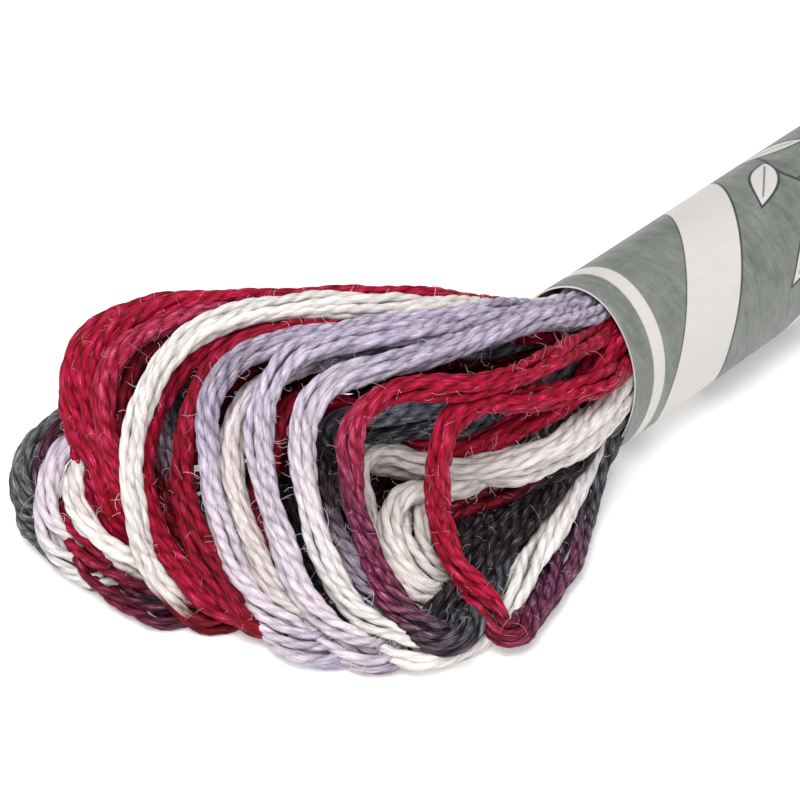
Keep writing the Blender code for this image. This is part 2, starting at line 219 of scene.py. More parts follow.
        (31.9, 12, 7.4), (35.5, 20, 7.1), (35.8, 26.3, 6.8), (34.9, 29.4, 6.5), (34.3, 31.6, 6.1),
        (33.4, 32.7, 5.6), (32.6, 33.6, 4.8), (31.5, 34.1, 4), (29.9, 34.3, 3.1), (28.4, 34.2, 2.2),
        (26.8, 33.9, 1.4), (24.4, 33.3, 0.9)), (
        (0.36, "deep"), (0.42, "soot"), (0.47, "maroon"), (0.53, "charcoal"))),
    ("pearl_1", (352, 4.5), (318, 3.2), (
        (29.2, 12, 6.6), (33.7, 20.1, 6.3), (34.8, 26.1, 6.1), (33.4, 29.4, 6), (32.3, 31.3, 5.9),
        (31.4, 32.5, 5.5), (29.8, 33.5, 4.6), (28, 34, 3.6), (26.2, 34.1, 2.6), (24, 33.7, 1.7),
        (21.6, 33.1, 1.1), (18.7, 32.1, 0.8)), (
        (0.34, "deep"), (0.4, "lavender"), (0.48, "pearl"), (0.555, "white"), (0.567, "maroon"))),
    ("cream_3", (350, 3.2), (296, 3.2), (
        (27.3, 12.1, 5.6), (31.8, 20, 5.5), (33, 26, 5.4), (32.5, 29.4, 5.2), (31.1, 31.4, 5.1),
        (28.8, 32.3, 4.8), (27.3, 32.5, 4.1), (25.2, 32.5, 3.4), (23.2, 32.2, 2.7), (21.4, 31.7, 2),
        (19.5, 30.9, 1.4), (17.2, 30, 0.9), (14.8, 28.9, 0.8)), (
        (0.36, "deep"), (0.42, "cream"), (0.57, "cream"), (0.61, "deep"))),
    ("plum_1", (20, 1.8), (274, 3.2), (
        (23.6, 12.2, 4.6), (27.2, 20.3, 4.6), (29.3, 26.8, 4.4), (29.8, 30.1, 3.9), (30.1, 31.3, 3.6),
        (28.4, 31.7, 3.1), (26.7, 31.7, 2.4), (24.8, 31.5, 1.7), (22.5, 31.1, 1.2), (19.7, 30.7, 0.85),
        (16.8, 30.2, 0.75), (14, 29.4, 0.75)), (
        (0.5, "crimson"), (0.54, "wine"), (0.58, "soot"))),
    ("plum_2", (0, 1.8), (338, 3.2), (
        (23, 12, 3.3), (25.1, 20.3, 3.3), (28, 27, 3), (30, 30, 3.2), (29.8, 32.2, 3.3), (28.9, 32.6, 3),
        (27, 33, 2.7), (24.9, 33, 2.2), (22.6, 32.8, 1.8), (20.6, 32.5, 1.3), (18.4, 31.9, 0.9),
        (16.4, 31.4, 0.75), (14.2, 30.6, 0.75), (12.2, 29.8, 0.75)), (
        (0.47, "crimson"), (0.52, "wine"), (0.57, "maroon"))),
)]
FAN_GROUPS = 5
FOLDED_TURNS = ("a",)

# ---- the tail
# The CAD ribbon's own stations: bearings of crest, shoulder, tip, heel, toe and foot in degrees,
# the reach, the reach on the table and the lift of the heights, for rows across the tail.
TAIL_ROWS = np.array((
    (-8, -10, -9, -8, -8, -6, 61.5, 58.0, 0.85),
    (-4, -5, -5, -4, -4, -3, 64.5, 61.0, 1.0),
    (0, 0, 0, 1, 1, 0, 66.0, 62.5, 1.05),
    (4, 5, 5, 5, 4, 3, 64.0, 60.5, 1.0),
    (8, 9, 9, 8, 7, 6, 60.5, 57.0, 0.9),
))
REACH, TABLE_REACH, LIFT = 6, 7, 8
# For each station: the column of its reach, its share of that (or the reach itself) and its
# height, which the row's lift scales above the table.
TAIL_STEPS = (
    (None, 30.0, 9.0), (REACH, 0.88, 8.6), (REACH, 1.0, 5.6), (TABLE_REACH, 1.045, 3.0),
    (TABLE_REACH, 1.0, 1.15), (TABLE_REACH, 0.5, 1.15))
LIFTED_STEPS = 4
RIBBON_HALF = 1.15
# The outer and the inner layer of turns: how far each lies off the ribbon's middle, how wide its
# legs spread at the band and their share of LEG_REACH.
TAIL_LAYERS = ((0.55, 8.4, 1.0), (-0.65, 7.0, 0.45))
LEG_REACH = 4.5
TAIL_GROUPS = 3

# ---- the yarn
STRANDS = 6
BUNDLE_WIDE, BUNDLE_HIGH = 0.68, 0.42
TABLE_SPREAD = 0.22
GROUP_PITCH = 36.0
SWING = 0.45
# How far a strand strays from its place in the bundle, and over which lengths.
STRAYS = ((0.1, 9, 16), (0.04, 3, 6))
# How a strand's tube is made: the step along it, the radii of its section, the power of the dye
# at each of them (1 on a crest, more in a groove), which paints shade into the grooves between
# the plies, and the length of one twist of its plies.
Strand = namedtuple("Strand", "step section shade pitch")
FAN_STRAND = Strand(0.34, np.tile((0.33, 0.31, 0.255, 0.31), 2), np.tile((0.95, 1.05, 1.6, 1.05), 2), -2.7)
TAIL_STRAND = Strand(1.25, np.tile((0.31, 0.28, 0.28), 2), np.ones(6), None)
# Middle lines of turns keep this far apart, in the open and in the band, and this far up.
TURN_SPACING = 1.34
MOUTH_SPACING = 1.12
LOWEST_MIDDLE = 0.72
MOUTH_REACH = 4.15
# A run keeps this many points at each end, and a point isn't pushed by this many of its own run.
KEPT_ENDS, OWN_POINTS = 3, 5
# How far into the band plain legs take over from the separate strands, and how far the strands
# and the legs go on past that place.
FINE_DEPTH, FINE_ON, LEGS_ON = 1.6, 1.0, 0.2
LEG_SIDES = 12

# Loose fibres. They leave a turn at its half width and half height, HAIR_ROOTS, and a share of
# them, LONG_HAIRS, is longer than the rest, by LONG_EXTRA or so.
Hair = namedtuple("Hair", "start out along colour")
FAN_HAIRS, TAIL_HAIRS = 185, 40
HAIR_ROOTS = (0.98, 0.7)
HAIR_RINGS = 6
HAIR_LENGTHS = (0.35, 1.1)
LONG_HAIRS, LONG_EXTRA = 0.14, 0.6
HAIR_CURLS = (0.8, 3.8)
HAIR_RADII = (0.013, 0.008)
HAIR_PALER = 0.2


def arc_length(points):
    return np.concatenate([[0.0], np.cumsum(np.linalg.norm(np.diff(points, axis=0), axis=1))])


def tangents(points):
    tangent = np.gradient(points, axis=0)
    return tangent / np.linalg.norm(tangent, axis=1)[:, None]


def part_way(p, q, at, low, high):
    """The point that moves from p to q while at goes from low to high."""
    return p + (q - p) * (at - low) / (high - low)


def resample(points, step):
    """A smooth run through the points (centripetal Catmull-Rom), at even steps of length."""
    points = np.asarray(points, float)
    padded = np.vstack([2 * points[0] - points[1], points, 2 * points[-1] - points[-2]])
    dense = []
    for a, b, c, d in zip(padded[:-3], padded[1:-2], padded[2:-1], padded[3:]):
        spans = [max(np.linalg.norm(q - p), 1e-6) ** 0.5 for p, q in ((a, b), (b, c), (c, d))]
        t0, t1, t2, t3 = np.cumsum([0.0] + spans)
        t = np.linspace(t1, t2, 12, endpoint=False)[:, None]
        one, two, three = part_way(a, b, t, t0, t1), part_way(b, c, t, t1, t2), part_way(c, d, t, t2, t3)
        low, high = part_way(one, two, t, t0, t2), part_way(two, three, t, t1, t3)
        dense.append(part_way(low, high, t, t1, t2))
    dense = np.vstack(dense + [points[-1:]])
    length = arc_length(dense)
    at = np.linspace(0.0, length[-1], max(4, int(round(length[-1] / step)) + 1))
    return np.stack([np.interp(at, length, dense[:, k]) for k in range(3)], axis=1)


def moving_frames(points, first):
    """Two normals carried along the points without turning about them."""
    tangent = tangents(points)
    normal = np.zeros_like(points)
    current = np.asarray(first, float)
    for k, along in enumerate(tangent):
        current = current - along * current.dot(along)
        current /= np.linalg.norm(current)
        normal[k] = current
    return normal, np.cross(tangent, normal)


def spread_apart(paths, rounds, hold, deeper=0.0):
    """Moves whole runs of points until different ones keep their distance, on the table or above.

    A point keeps a share of its shift, and deeper adds to the share along the way of looking.
    """
    points = np.vstack(paths)
    start = points.copy()
    sizes = [len(path) for path in paths]
    owner = np.repeat(np.arange(len(paths)), sizes)
    place = np.concatenate([np.arange(size) for size in sizes])
    left = np.concatenate([np.arange(size)[::-1] for size in sizes])
    fixed = np.minimum(place, left) < KEPT_ENDS
    inner = np.flatnonzero((place > 0) & (left > 0))
    for _ in range(rounds):
        square = (points ** 2).sum(axis=1)
        gap = square[:, None] + square - 2 * points @ points.T
        first, second = np.nonzero(np.triu(gap < TURN_SPACING ** 2, 1))
        apart = (owner[first] != owner[second]) | (np.abs(place[first] - place[second]) > OWN_POINTS)
        first, second = first[apart], second[apart]
        way = points[second] - points[first]
        length = np.maximum(np.linalg.norm(way, axis=1), 1e-6)
        push = way * (0.3 * (TURN_SPACING - length) / length)[:, None]
        shift = np.zeros_like(points)
        np.add.at(shift, second, push)
        np.add.at(shift, first, -push)
        moved = points + shift - start
        moved = moved * hold + np.outer(moved @ LOOKING, LOOKING) * deeper
        for _ in range(2):
            moved[inner] += 0.5 * ((moved[inner - 1] + moved[inner + 1]) / 2 - moved[inner])
        moved[fixed] = 0.0
        points = start + moved
        points[:, 2] = np.where(fixed, points[:, 2], np.maximum(points[:, 2], LOWEST_MIDDLE))
    return np.split(points, np.cumsum(sizes)[:-1])


def mouth_places():
    """Where the legs of the turns lie in the band: spread from their first places, y and z."""
    places = []
    for turn in TURNS:
        for bearing, distance in (turn.enter, turn.leave):
            angle = math.radians(bearing)
            places.append((distance * math.cos(angle), distance * math.sin(angle)))
    places = np.array(places)
    first = places.copy()
    for _ in range(400):
        way = places - places[:, None]
        # The 9 keeps a leg from pushing itself.
        length = np.linalg.norm(way, axis=2) + np.eye(len(places)) * 9
        push = np.clip(MOUTH_SPACING - length, 0, None)[:, :, None] * way / length[:, :, None]
        places = places - 0.35 * push.sum(axis=1) + 0.01 * (first - places)
        reach = np.linalg.norm(places, axis=1)
        places *= (np.minimum(reach, MOUTH_REACH) / reach)[:, None]
    return places.reshape(-1, 2, 2) + (0.0, BAND_AXIS_Z)


def fan_paths(mouths):
    """The middle line of every turn of the fan, from inside the band round and back inside it."""
    paths = []
    for turn, mouth in zip(TURNS, mouths):
        ends = []
        for y, z in mouth:
            rim = rim_x(y, z)
            deep = rim + FINE_DEPTH
            ends.append([(deep + FINE_ON, y, z), (deep, y, z), (rim - 0.2, y * 1.01, z)])
        bearing, distance, height = np.array(turn.points, float).T
        angle = np.radians(bearing)
        middle = np.stack([-distance * np.cos(angle), distance * np.sin(angle), height], 1)
        # Points too near the mouth give way to the ends' own ones.
        middle = middle[middle[:, 0] < rim_x(middle[:, 1], middle[:, 2]) - 2.2]
        paths.append(resample(np.vstack([ends[0], middle, ends[1][::-1]]), 1.0))
    return spread_apart(paths, rounds=80, hold=0.93, deeper=0.06)


def dye_along(stops, share):
    """The dye at shares of the way along a turn."""
    at = [place for place, _ in stops]
    colours = np.array([DYES[name] for _, name in stops])
    return np.stack([np.interp(share, at, colours[:, k]) for k in range(3)], axis=1)


def add_object(name, data):
    item = bpy.data.objects.new(name, data)
    bpy.context.scene.collection.objects.link(item)
    return item


def add_mesh(name, points_mm, faces, *materials):
    """A smooth-shaded piece from points in the working millimetres."""
    mesh = bpy.data.meshes.new(name)
    mesh.from_pydata((np.asarray(points_mm) * MM + ORIGIN).tolist(), [], faces)
    mesh.polygons.foreach_set("use_smooth", [True] * len(mesh.polygons))
    mesh.update()
    for material in materials:
        mesh.materials.append(material)
    return add_object(name, mesh)


class Yarn:
    """Gathers the tubes of one piece: points, faces, dyes and places on the straightened strand."""

    def __init__(self):
        self.points, self.faces, self.caps, self.dyes, self.straight = [], [], [], [], []
        self.count = 0

    def tube(self, middle, frames, section, dye, shade, turns, span):
        """A tube round the line: radii of the section, turned by an angle at each ring."""
        normal, binormal = frames
        rings, sides = len(middle), section.shape[-1]
        angle = turns[:, None] + np.arange(sides) * math.tau / sides
        radius = np.broadcast_to(section, (rings, sides))
        across, up = radius * np.cos(angle), radius * np.sin(angle)
        points = middle[:, None] + across[..., None] * normal[:, None] + up[..., None] * binormal[:, None]
        self.points.append(points.reshape(-1, 3))
        # The dye raised to the section's power: painted shade in the grooves between plies.
        self.dyes.append((dye[:, None] ** shade[:, None]).reshape(-1, 3))
        place = np.stack([across, up, np.broadcast_to(span[:, None], across.shape)], axis=2)
        self.straight.append((place + RANDOM.uniform(0, 50, 3)).reshape(-1, 3))
        ring = np.arange(rings - 1)[:, None] * sides
        side = np.arange(sides)
        after = (side + 1) % sides
        faces = np.stack([ring + side, ring + after, ring + sides + after, ring + sides + side], axis=2)
        self.faces.append(faces.reshape(-1, 4) + self.count)
        self.count += rings * sides

    def cap(self, sides):
        """Closes both ends of the tube that was added last."""
        start = self.count - len(self.points[-1])
        self.caps.append([start + k for k in range(sides)][::-1])
        self.caps.append([self.count - sides + k for k in range(sides)])

    def piece(self, name, material):
        points = np.vstack(self.points)
        points[:, 2] = np.maximum(points[:, 2], 0.01)
        item = add_mesh(name, points, np.vstack(self.faces).tolist() + self.caps, material)
        dye = item.data.attributes.new("dye", "FLOAT_COLOR", "POINT")
        colours = np.ones((len(points), 4), np.float32)
        colours[:, :3] = np.clip(np.vstack(self.dyes), 0, 1)
        dye.data.foreach_set("color", colours.ravel())
        place = item.data.attributes.new("straight", "FLOAT_VECTOR", "POINT")
        place.data.foreach_set("vector", np.vstack(self.straight).astype(np.float32).ravel())
        item.data.color_attributes.active_color = item.data.color_attributes["dye"]
        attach(item, "root")


def on_table(path):
    """1 where a turn lies on the table and 0 where it is well above it."""
    return np.interp(path[:, 2], (1.2, 3.5), (1.0, 0.0))


def bundle_frames(path):
    """Two normals along a turn: its flat side faces out of its loop, or upwards on the table."""
    across_loop = np.linalg.svd(path - path.mean(axis=0), full_matrices=False)[2][2]
    tangent = tangents(path)
    low = on_table(path)
    level = np.stack([-tangent[:, 1], tangent[:, 0], np.zeros(len(path))], axis=1)
    normal = np.zeros_like(path)
    before = across_loop
    for k, along in enumerate(tangent):
        flat_on = level[k] * (1.0 if level[k] @ before >= 0 else -1.0)
        facing = across_loop * (1.0 if across_loop @ before >= 0 else -1.0)
        way = low[k] * flat_on + (1 - low[k]) * facing
        way = 0.75 * before + 0.25 * way
        way = way - along * (along @ way)
        before = normal[k] = way / np.linalg.norm(way)
    return normal, np.cross(tangent, normal)


def strand_middles(path, along, frames, squeeze):
    """The middle lines of a turn's six strands, which wind slowly round each other and stray."""
    normal, binormal = frames
    group = RANDOM.uniform(0, math.tau) - math.tau * along / (GROUP_PITCH * RANDOM.uniform(0.85, 1.2))
    swing = SWING * np.sin(along / RANDOM.uniform(5, 9) + RANDOM.uniform(0, 6))
    wide = squeeze * (1 + TABLE_SPREAD * on_table(path))
    middles = []
    for k in range(STRANDS):
        angle = group + math.tau * (k + RANDOM.uniform(-0.1, 0.1)) / STRANDS
        stray = []
        for _ in range(2):
            waves = [RANDOM.uniform(shortest, longest) for _, shortest, longest in STRAYS]
            stray.append(sum(size * np.sin(along / wave * 6.28 + RANDOM.uniform(0, 6))
                             for (size, _, _), wave in zip(STRAYS, waves)))
        u = (BUNDLE_WIDE * np.cos(angle) + stray[0]) * wide
        v = (BUNDLE_HIGH * np.sin(angle) + stray[1]) * squeeze
        across = u * np.cos(swing) - v * np.sin(swing)
        up = u * np.sin(swing) + v * np.cos(swing)
        middles.append(path + across[:, None] * normal + up[:, None] * binormal)
    return middles


def note_hairs(path, stops, count, frames):
    """Chooses where loose fibres leave a turn, outside the band."""
    normal, binormal = frames
    along = arc_length(path)
    free = np.flatnonzero((path[:, 0] < -3.5) | (path[:, 0] > BAND_LENGTH + 3.0))[1:-1]
    hairs = []
    for k in RANDOM.choice(free, count):
        around = RANDOM.uniform(0, math.tau)
        out = math.cos(around) * normal[k] + math.sin(around) * binormal[k]
        tangent = path[k + 1] - path[k - 1]
        tangent /= np.linalg.norm(tangent)
        colour = dye_along(stops, np.array([along[k] / along[-1]]))[0]
        reach = math.hypot(HAIR_ROOTS[0] * math.cos(around), HAIR_ROOTS[1] * math.sin(around))
        start = path[k] + out * reach * RANDOM.uniform(0.8, 1.0)
        hairs.append(Hair(start, out, tangent * RANDOM.choice((-1, 1)), colour))
    return hairs


def add_turn(yarn, path, stops, strand, squeeze, hairs):
    """Adds the six strands of one turn, and gives back the places of its loose fibres."""
    path = resample(path, strand.step)
    along = arc_length(path)
    frames = bundle_frames(path)
    for middle in strand_middles(path, along, frames, squeeze(path)):
        tone = RANDOM.uniform(0.93, 1.05)
        late = RANDOM.uniform(-0.02, 0.02)
        dye = dye_along(stops, np.clip(along / along[-1] + late, 0, 1)) * tone
        cloud = 1 + 0.05 * np.sin(along / RANDOM.uniform(2, 4) + RANDOM.uniform(0, 6))
        turns = along * 0 + RANDOM.uniform(0, 6)
        if strand.pitch:
            turns = turns + math.tau * along / (strand.pitch * RANDOM.uniform(0.85, 1.2))
            turns = turns + 0.7 * np.sin(along / RANDOM.uniform(1.0, 2.0) + RANDOM.uniform(0, 6))
        fat = RANDOM.uniform(0.96, 1.06)
        yarn.tube(middle, frames, strand.section * fat, dye * cloud[:, None], strand.shade, turns, along)
        yarn.cap(len(strand.section))
    return note_hairs(path, stops, hairs, frames)


# ---- materials
class Shades:
    """Short names for building a material's nodes."""

    def __init__(self, name, roughness):
        self.material = bpy.data.materials.new(name)
        self.material.use_nodes = True
        self.tree = self.material.node_tree
        self.surface(("Roughness", roughness))

    def put(self, node, *inputs):
        """Gives a node inputs: a socket's place or name, and a constant or another node's output."""
        for socket, value in inputs:
            if isinstance(value, bpy.types.NodeSocket):
                self.tree.links.new(value, node.inputs[socket])
            else:
                node.inputs[socket].default_value = value

    def surface(self, *inputs):
        self.put(self.tree.nodes["Principled BSDF"], *inputs)

    def node(self, kind, *inputs, **settings):
        node = self.tree.nodes.new(kind)
        for key, value in settings.items():
            setattr(node, key, value)
        self.put(node, *inputs)
        return node

    def calc(self, how, *values, clamp=False):
        return self.node("ShaderNodeMath", *enumerate(values), operation=how, use_clamp=clamp).outputs[0]

    def step(self, value, low, high):
        """0 below low and 1 above high, smooth between them."""
        inputs = enumerate((value, low, high, 0.0, 1.0))
        return self.node("ShaderNodeMapRange", *inputs, interpolation_type="SMOOTHSTEP").outputs[0]

    def blend(self, share, first, second, how="MIX"):
        first, second = [value if isinstance(value, bpy.types.NodeSocket) else (*value, 1.0)
                         for value in (first, second)]
        inputs = ("Factor", share), (6, first), (7, second)
        return self.node("ShaderNodeMix", *inputs, data_type="RGBA", blend_type=how).outputs[2]

    def noise(self, vector, scale, detail=2.0, roughness=0.5):
        inputs = ("Vector", vector), ("Scale", scale), ("Detail", detail), ("Roughness", roughness)
        return self.node("ShaderNodeTexNoise", *inputs).outputs[0]

    def stretch(self, vector, scale):
        return self.node("ShaderNodeMapping", ("Vector", vector), ("Scale", scale)).outputs[0]

    def place(self):
        return self.node("ShaderNodeTexCoord").outputs["Object"]

    def yarn(self):
        """The dye of a point of yarn and its place on the straightened strand."""
        return (self.node("ShaderNodeAttribute", attribute_name="dye").outputs["Color"],
                self.node("ShaderNodeAttribute", attribute_name="straight").outputs["Vector"])

    def paper(self):
        """Paper tooth: fine fibres along the band and soft clouds."""
        place = self.place()
        grain = self.noise(self.stretch(place, (900.0, 2600.0, 2600.0)), 1.0, 3.0, 0.6)
        return grain, self.noise(place, 420.0, 2.0)

    def bump(self, height, strength, distance):
        node = self.node("ShaderNodeBump", ("Strength", strength), ("Distance", distance), ("Height", height))
        self.surface(("Normal", node.outputs[0]))

    def colour(self, value):
        self.surface(("Base Color", value))


def floss_material():
    """Mercerised cotton: the dye of each point, fine fibres along the strand and a soft shine."""
    shades = Shades("floss", 0.5)
    dye, place = shades.yarn()
    fibres = shades.noise(shades.stretch(place, (10.0, 10.0, 0.9)), 1.0, 4.0, 0.7)
    patches = shades.noise(shades.stretch(place, (2.4, 2.4, 1.3)), 1.0, 1.0)
    # The dye's power: the colour is fuller where it is higher. It is higher in random patches, and in the
    # fibres that lie low in the bump, where it is painted shade.
    depth = shades.calc("MULTIPLY_ADD", fibres, -2.6, shades.calc("MULTIPLY_ADD", patches, -1.0, 2.85))
    deepened = shades.node("ShaderNodeGamma", ("Color", dye), ("Gamma", depth)).outputs[0]
    # Painted light and shade on the fibres: those raised in the bump are lighter, the sunken ones darker.
    light = shades.calc("MULTIPLY_ADD", fibres, 0.3, 0.85)
    shades.colour(shades.blend(1.0, deepened, light, "MULTIPLY"))
    shades.surface(("Roughness", shades.calc("MULTIPLY_ADD", fibres, 0.3, 0.4)), ("Specular IOR Level", 0.11),
                   ("Sheen Weight", 0.04), ("Sheen Roughness", 0.35))
    shades.bump(fibres, 0.8, 0.00006)
    return shades.material


def fluff_material():
    """Loose fibres: the dye with pale patches and a bright rim."""
    shades = Shades("floss_fluff", 0.6)
    dye, place = shades.yarn()
    patches = shades.noise(place, 1.5, 1.0)
    shades.colour(shades.blend(shades.calc("MULTIPLY", patches, 0.35), dye, (0.8, 0.76, 0.76)))
    shades.surface(("Sheen Weight", 0.4))
    return shades.material


def core_material():
    """The band's bare paper, inside and along its cut edges."""
    shades = Shades("band_core", 0.7)
    grain, clouds = shades.paper()
    share = shades.calc("MULTIPLY_ADD", grain, 0.5, shades.calc("MULTIPLY", clouds, 0.3))
    shades.colour(shades.blend(share, (0.62, 0.58, 0.56), (0.83, 0.80, 0.78)))
    shades.bump(grain, 0.3, 0.00003)
    return shades.material


# Places in millimetres along the band: the stripes' edges, the ribbons' edges as a middle and its
# swing round the band, and the stem with its leaves.
PRINT_LENGTH, PRINT_DEGREES = 50.0, 400.0
STRIPES = ((1.75, 2.8), (45.2, 46.25))
RIBBONS = (((8.0, 4.3), (13.4, 4.0)), ((31.0, 3.4), (36.6, 3.2)))
RIBBON_LEAD = 10
STEM, STEM_SWING = 19.6, 0.45
LEAVES = 6.0
LEAF_LEAN = math.radians(38.0)
LEAF_HALF, LEAF_WIDTH, LEAF_OUT = 2.55, 0.95, 2.1


def print_material():
    """Sage fields, a white stripe by each rim, two white ribbons and a ring of plain leaves."""
    shades = Shades("band_print", 0.5)
    calc, step = shades.calc, shades.step
    plus, minus, times = [partial(calc, how) for how in ("ADD", "SUBTRACT", "MULTIPLY")]
    uv = shades.node("ShaderNodeUVMap", uv_map="sleeve").outputs[0]
    split = shades.node("ShaderNodeSeparateXYZ", (0, uv)).outputs
    along = times(split[0], PRINT_LENGTH)
    angle = times(split[1], math.radians(PRINT_DEGREES))
    grain, clouds = shades.paper()

    def wave(middle, swing, lead, waves=1.0):
        turned = plus(times(angle, waves), -math.radians(lead))
        return calc("MULTIPLY_ADD", calc("COSINE", turned), swing, middle)

    def between(value, low, high, soft=0.07):
        above = step(value, minus(low, soft), plus(low, soft))
        under = step(value, minus(high, soft), plus(high, soft))
        return minus(above, under)

    def line(value, low, width):
        return between(value, minus(low, width / 2), plus(low, width / 2), 0.05)

    def largest(first, *others):
        for other in others:
            first = calc("MAXIMUM", first, other)
        return first

    near, far = [[wave(middle, swing, RIBBON_LEAD) for middle, swing in ribbon] for ribbon in RIBBONS]
    stem = wave(STEM, STEM_SWING, 0, LEAVES)
    white = largest(*(between(along, low, high) for low, high in (*STRIPES, near, far)))
    ink = largest(line(along, near[0], 0.12), line(along, near[1], 0.2), line(along, far[0], 0.2),
                  line(along, stem, 0.26))
    part = math.tau / LEAVES
    for side in (-1, 1):
        # Leaves of one side, each from the stem outwards and on round the band.
        turned = calc("FLOORED_MODULO", plus(angle, part * (0.5 if side > 0 else 0.0)), part)
        arc = times(minus(turned, part * 0.5), BAND_RADIUS)
        ahead = minus(along, STEM + side * LEAF_OUT)
        cos, sin = side * math.cos(LEAF_LEAN), math.sin(LEAF_LEAN)
        down = plus(times(ahead, cos), times(arc, sin))
        off = calc("ABSOLUTE", minus(times(arc, cos), times(ahead, sin)))
        share = calc("MINIMUM", calc("MAXIMUM", calc("DIVIDE", down, LEAF_HALF), -2.0), 2.0)
        edge = times(minus(1.0, times(share, share)), LEAF_WIDTH)
        edge = times(edge, calc("MULTIPLY_ADD", share, -0.3, 1.0))
        inside = minus(edge, off)
        leaf = step(inside, 0.0, 0.08)
        white = largest(white, leaf)
        rim = minus(step(inside, -0.18, -0.1), step(inside, 0.02, 0.1))
        vein = times(step(inside, 0.3, 0.5), minus(1.0, step(off, 0.04, 0.11)))
        ink = largest(times(ink, minus(1.0, leaf)), rim, times(vein, 0.7))
    strokes = shades.noise(shades.stretch(shades.place(), (1500.0, 420.0, 420.0)), 1.0, 3.0, 0.7)
    speckle = plus(times(grain, 0.4), times(clouds, 0.3))
    speckle = calc("MULTIPLY_ADD", strokes, 1.1, minus(speckle, 0.4), clamp=True)
    sage = shades.blend(speckle, (0.065, 0.078, 0.068), (0.25, 0.262, 0.240))
    pale = shades.blend(grain, (0.52, 0.49, 0.475), (0.60, 0.575, 0.56))
    charcoal = shades.blend(grain, (0.022, 0.026, 0.03), (0.06, 0.065, 0.07))
    shades.colour(shades.blend(ink, shades.blend(white, sage, pale), charcoal))
    shades.surface(("Roughness", calc("MULTIPLY_ADD", grain, 0.2, 0.36)), ("Specular IOR Level", 0.4))
    shades.bump(plus(grain, times(clouds, 0.8)), 0.35, 0.00003)
    return shades.material


def floor_material():
    shades = Shades("floor", 0.9)
    clouds = shades.noise(shades.place(), 60.0, 3.0)
    shades.colour(shades.blend(clouds, (0.90, 0.90, 0.90), (0.93, 0.93, 0.93)))
    # A faint glow, as a lit table has, keeps the shadows on it pale.
    shades.surface(("Emission Color", (1.0, 1.0, 1.0, 1.0)), ("Emission Strength", 0.2))
    return shades.material


# ---- the fan
def near_mouth(path):
    """How far the strands of a turn draw together towards the band's mouths."""
    return np.interp(path[:, 0], (-8, -1, BAND_LENGTH + 1.5, BAND_LENGTH + 10), (1, 0.82, 0.82, 1))


def folded(path):
    """As near_mouth, pinched at the near loop's sharp fold and spread along its way back."""
    pinch = np.interp(path[:, 1], (-9.8, -8.4), (0.66, 1.0))
    return near_mouth(path) * pinch * np.interp(path[:, 2], (1.0, 2.2), (1.08, 1.0))


def build_fan(mouths, floss):
    turns = list(zip(TURNS, fan_paths(mouths)))
    hairs = []
    for group in range(FAN_GROUPS):
        yarn = Yarn()
        for turn, path in turns[group::FAN_GROUPS]:
            squeeze = folded if turn.name in FOLDED_TURNS else near_mouth
            hairs += add_turn(yarn, path, turn.dye, FAN_STRAND, squeeze, FAN_HAIRS)
        yarn.piece("floss_fan_%d" % (group + 1), floss)
    return hairs


# ---- the tail and the legs in the band
def band_legs(mouths):
    """Where each leg runs in the band, and the dye that its turn has there: (y, z, dye)."""
    return [(y, z, dye) for turn, pair in zip(TURNS, mouths)
            for (y, z), dye in zip(pair, (turn.dye[0][1], turn.dye[-1][1]))]


def tail_line(across, layer, start, end):
    """The middle line of a tail turn: out along the top, round the tip and back on the table."""
    row = [np.interp(across * (len(TAIL_ROWS) - 1), range(len(TAIL_ROWS)), column) for column in TAIL_ROWS.T]
    points = []
    bearings = np.radians(row[:len(TAIL_STEPS)])
    for k, (column, share, height) in enumerate(TAIL_STEPS):
        reach = share * (1.0 if column is None else row[column])
        if k < LIFTED_STEPS:
            height *= row[LIFT]
        x, y = BAND_LENGTH + reach * math.cos(bearings[k]), reach * math.sin(bearings[k])
        points.append((x, y, max(height, RIBBON_HALF)))
    points = np.array(points)
    side = np.stack([-np.sin(bearings), np.cos(bearings), np.zeros(len(points))], axis=1)
    points += TAIL_LAYERS[layer][0] * np.cross(tangents(points), side)
    out, back = [[(BAND_LENGTH - FINE_DEPTH - FINE_ON, y, z), (BAND_LENGTH + 1.5, y, z)]
                 for y, z in (start, end)]
    return np.vstack([out, points, back[::-1]])


def tail_turns(mouths):
    """Pairs of legs for the tail's turns, an upper and a lower one, with their place and layer."""
    legs = sorted(band_legs(mouths), key=lambda leg: -leg[1])
    half = len(legs) // 2
    outer = (half + 1) // 2
    seats = [((k + 0.5) / count, layer)
             for layer, count in enumerate((outer, half - outer)) for k in range(count)]
    chosen = []
    for sign, group in ((1, legs[:half]), (-1, legs[half:])):
        pairs = []
        for s, (across, layer) in enumerate(seats):
            _, spread, reach = TAIL_LAYERS[layer]
            y = (across - 0.5) * spread
            z = BAND_AXIS_Z + sign * math.sqrt(LEG_REACH ** 2 - y ** 2) * reach
            pairs += [(math.hypot(y - leg[0], z - leg[1]), s, k) for k, leg in enumerate(group)]
        seat_of = {}
        for _, s, k in sorted(pairs):
            if s not in seat_of and k not in seat_of.values():
                seat_of[s] = k
        chosen.append([group[seat_of[s]] for s in range(len(seats))])
    return list(zip(seats, *chosen))


